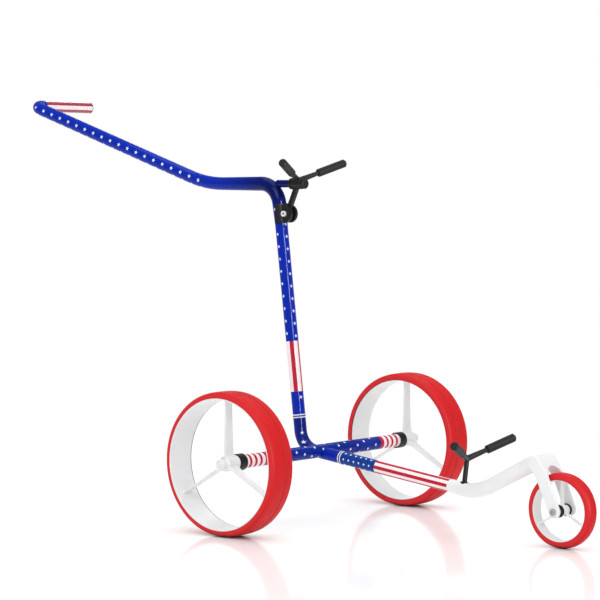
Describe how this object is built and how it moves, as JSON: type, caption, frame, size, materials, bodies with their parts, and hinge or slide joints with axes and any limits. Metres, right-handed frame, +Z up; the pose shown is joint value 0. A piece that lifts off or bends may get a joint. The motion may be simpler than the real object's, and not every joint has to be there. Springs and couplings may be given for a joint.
{
  "type": "golf trolley",
  "caption": "Electric golf trolley on wheels with spokes, a bent shaft with a side grip, a forked front wheel and forked bag cradles.",
  "frame": {"origin": "on the floor, at the middle of the trolley's length and width", "axes": "+X forward to the front wheel, +Y to the left, +Z up"},
  "size_m": [1.5508, 0.6504, 0.8949],
  "materials": {
    "blue_paint": "gloss blue paint with a pattern of small stars, on aluminium tube",
    "flag_paint": "gloss paint with red and white stripes, on aluminium tube",
    "striped_grip": "smooth rubber sleeve with red and white stripes",
    "white_gloss": "gloss white",
    "white_paint": "gloss white paint on cast aluminium",
    "red_tyre": "satin solid tyre",
    "black_plastic": "satin black",
    "black_rubber": "soft black rubber",
    "bright_trim": "polished",
    "steel": "turned steel",
    "light_metal": "turned aluminium",
    "magnet_iron": "ground iron",
    "copper": "enamelled copper winding",
    "board": "green circuit board",
    "button_red": "gloss red"
  },
  "bodies": {
    "chassis": {"axle_tube": "blue_paint", "frame_elbow": "blue_paint", "front_stub": "blue_paint", "shaft_joint_ring": "bright_trim", "front_joint_ring": "bright_trim", "motor_controller": "board", "motor_leads": "black_rubber", "battery_socket": "black_plastic", "left_axle_collar": "black_plastic", "left_shaft_bearings": "steel", "left_ring_gear": "steel", "left_motor_housing": "light_metal", "left_motor_bearings": "steel", "left_motor_stator": "copper", "right_axle_collar": "black_plastic", "right_shaft_bearings": "steel", "right_ring_gear": "steel", "right_motor_housing": "light_metal", "right_motor_bearings": "steel", "right_motor_stator": "copper"},
    "shaft": {"shaft_tube": "blue_paint", "handle_grip": "striped_grip", "control_housing": "black_plastic", "stub_collar": "black_plastic", "cradle_bracket": "black_plastic", "cradle_pivot_bolt": "steel", "cradle_pivot_nut": "steel"},
    "dial": {"speed_dial": "black_plastic"},
    "power_key": {"power_button": "button_red"},
    "cradle_top": {"upper_cradle": "black_plastic", "upper_cradle_sleeves": "black_rubber"},
    "knob": {"cradle_knob": "black_plastic"},
    "front_frame": {"front_tube": "flag_paint", "front_fork": "white_paint", "stalk_socket": "black_plastic", "front_axle_bolt": "steel", "front_axle_nut": "steel", "front_spacers": "light_metal"},
    "front_wheel": {"front_rim": "white_gloss", "front_tyre": "red_tyre", "front_bearings": "steel"},
    "cradle_bottom": {"lower_cradle": "black_plastic", "lower_cradle_sleeves": "black_rubber"},
    "left_drive": {"left_drive_shaft": "steel"},
    "left_rotor": {"left_motor_rotor": "magnet_iron"},
    "left_planet_1": {"left_planet_gear_1": "steel"},
    "left_planet_2": {"left_planet_gear_2": "steel"},
    "left_planet_3": {"left_planet_gear_3": "steel"},
    "left_wheel": {"left_rear_rim": "white_gloss", "left_rear_tyre": "red_tyre"},
    "left_release": {"left_release_button": "black_plastic"},
    "right_drive": {"right_drive_shaft": "steel"},
    "right_rotor": {"right_motor_rotor": "magnet_iron"},
    "right_planet_1": {"right_planet_gear_1": "steel"},
    "right_planet_2": {"right_planet_gear_2": "steel"},
    "right_planet_3": {"right_planet_gear_3": "steel"},
    "right_wheel": {"right_rear_rim": "white_gloss", "right_rear_tyre": "red_tyre"},
    "right_release": {"right_release_button": "black_plastic"}
  },
  "joints": [
    {"name": "shaft_pull_off", "type": "slide", "parent": "chassis", "child": "shaft", "axis": [-0.1212, 0, 0.9926], "range_m": [0, 0.06]},
    {"name": "speed_dial_turn", "type": "hinge", "parent": "shaft", "child": "dial", "pos_m": [-0.76158, 0.18, 0.881], "axis": [0, 1, 0], "range_deg": [0, 270]},
    {"name": "power_button_press", "type": "slide", "parent": "shaft", "child": "power_key", "axis": [0, -1, 0], "range_m": [0, 0.0015], "stiffness_N_per_m": 900, "springref_m": -0.0006},
    {"name": "cradle_swing", "type": "hinge", "parent": "shaft", "child": "cradle_top", "pos_m": [0.00686, 0, 0.64], "axis": [0, 1, 0], "range_deg": [0, 120]},
    {"name": "cradle_knob_turn", "type": "hinge", "parent": "cradle_top", "child": "knob", "pos_m": [0.04793, 0, 0.703], "axis": [1, 0, 0], "range_deg": [0, 360]},
    {"name": "front_frame_pull_off", "type": "slide", "parent": "chassis", "child": "front_frame", "axis": [0.9922, 0, -0.125], "range_m": [0, 0.06]},
    {"name": "front_wheel_roll", "type": "hinge", "parent": "front_frame", "child": "front_wheel", "pos_m": [0.70193, 0, 0.0735], "axis": [0, 1, 0], "continuous": true},
    {"name": "lower_cradle_lift_out", "type": "slide", "parent": "front_frame", "child": "cradle_bottom", "axis": [0.125, 0, 0.9922], "range_m": [0, 0.03]},
    {"name": "left_wheel_drive", "type": "hinge", "parent": "chassis", "child": "left_drive", "pos_m": [0.10043, 0.272, 0.145], "axis": [0, 1, 0], "continuous": true},
    {"name": "left_wheel_pull_off", "type": "slide", "parent": "left_drive", "child": "left_wheel", "axis": [0, 1, 0], "range_m": [0, 0.04]},
    {"name": "left_release_press", "type": "slide", "parent": "left_wheel", "child": "left_release", "axis": [0, -1, 0], "range_m": [0, 0.0025], "stiffness_N_per_m": 1200, "springref_m": -0.0008},
    {"name": "left_rotor_turn", "type": "hinge", "parent": "chassis", "child": "left_rotor", "pos_m": [0.10043, 0.2402, 0.145], "axis": [0, 1, 0], "continuous": true},
    {"name": "left_planet_1_turn", "type": "hinge", "parent": "left_drive", "child": "left_planet_1", "pos_m": [0.10702, 0.2408, 0.145], "axis": [0, 1, 0], "continuous": true},
    {"name": "left_planet_2_turn", "type": "hinge", "parent": "left_drive", "child": "left_planet_2", "pos_m": [0.09713, 0.2408, 0.15072], "axis": [0, 1, 0], "continuous": true},
    {"name": "left_planet_3_turn", "type": "hinge", "parent": "left_drive", "child": "left_planet_3", "pos_m": [0.09713, 0.2408, 0.13928], "axis": [0, 1, 0], "continuous": true},
    {"name": "right_wheel_drive", "type": "hinge", "parent": "chassis", "child": "right_drive", "pos_m": [0.10043, -0.272, 0.145], "axis": [0, 1, 0], "continuous": true},
    {"name": "right_wheel_pull_off", "type": "slide", "parent": "right_drive", "child": "right_wheel", "axis": [0, -1, 0], "range_m": [0, 0.04]},
    {"name": "right_release_press", "type": "slide", "parent": "right_wheel", "child": "right_release", "axis": [0, 1, 0], "range_m": [0, 0.0025], "stiffness_N_per_m": 1200, "springref_m": -0.0008},
    {"name": "right_rotor_turn", "type": "hinge", "parent": "chassis", "child": "right_rotor", "pos_m": [0.10043, -0.2402, 0.145], "axis": [0, 1, 0], "continuous": true},
    {"name": "right_planet_1_turn", "type": "hinge", "parent": "right_drive", "child": "right_planet_1", "pos_m": [0.10702, -0.2408, 0.145], "axis": [0, 1, 0], "continuous": true},
    {"name": "right_planet_2_turn", "type": "hinge", "parent": "right_drive", "child": "right_planet_2", "pos_m": [0.09713, -0.2408, 0.15072], "axis": [0, 1, 0], "continuous": true},
    {"name": "right_planet_3_turn", "type": "hinge", "parent": "right_drive", "child": "right_planet_3", "pos_m": [0.09713, -0.2408, 0.13928], "axis": [0, 1, 0], "continuous": true}
  ],
  "couplings": [
    {"joint": "left_rotor_turn", "follows": "left_wheel_drive", "ratio": 4},
    {"joint": "left_planet_1_turn", "follows": "left_wheel_drive", "ratio": -3},
    {"joint": "left_planet_2_turn", "follows": "left_wheel_drive", "ratio": -3},
    {"joint": "left_planet_3_turn", "follows": "left_wheel_drive", "ratio": -3},
    {"joint": "right_rotor_turn", "follows": "right_wheel_drive", "ratio": 4},
    {"joint": "right_planet_1_turn", "follows": "right_wheel_drive", "ratio": -3},
    {"joint": "right_planet_2_turn", "follows": "right_wheel_drive", "ratio": -3},
    {"joint": "right_planet_3_turn", "follows": "right_wheel_drive", "ratio": -3}
  ]
}
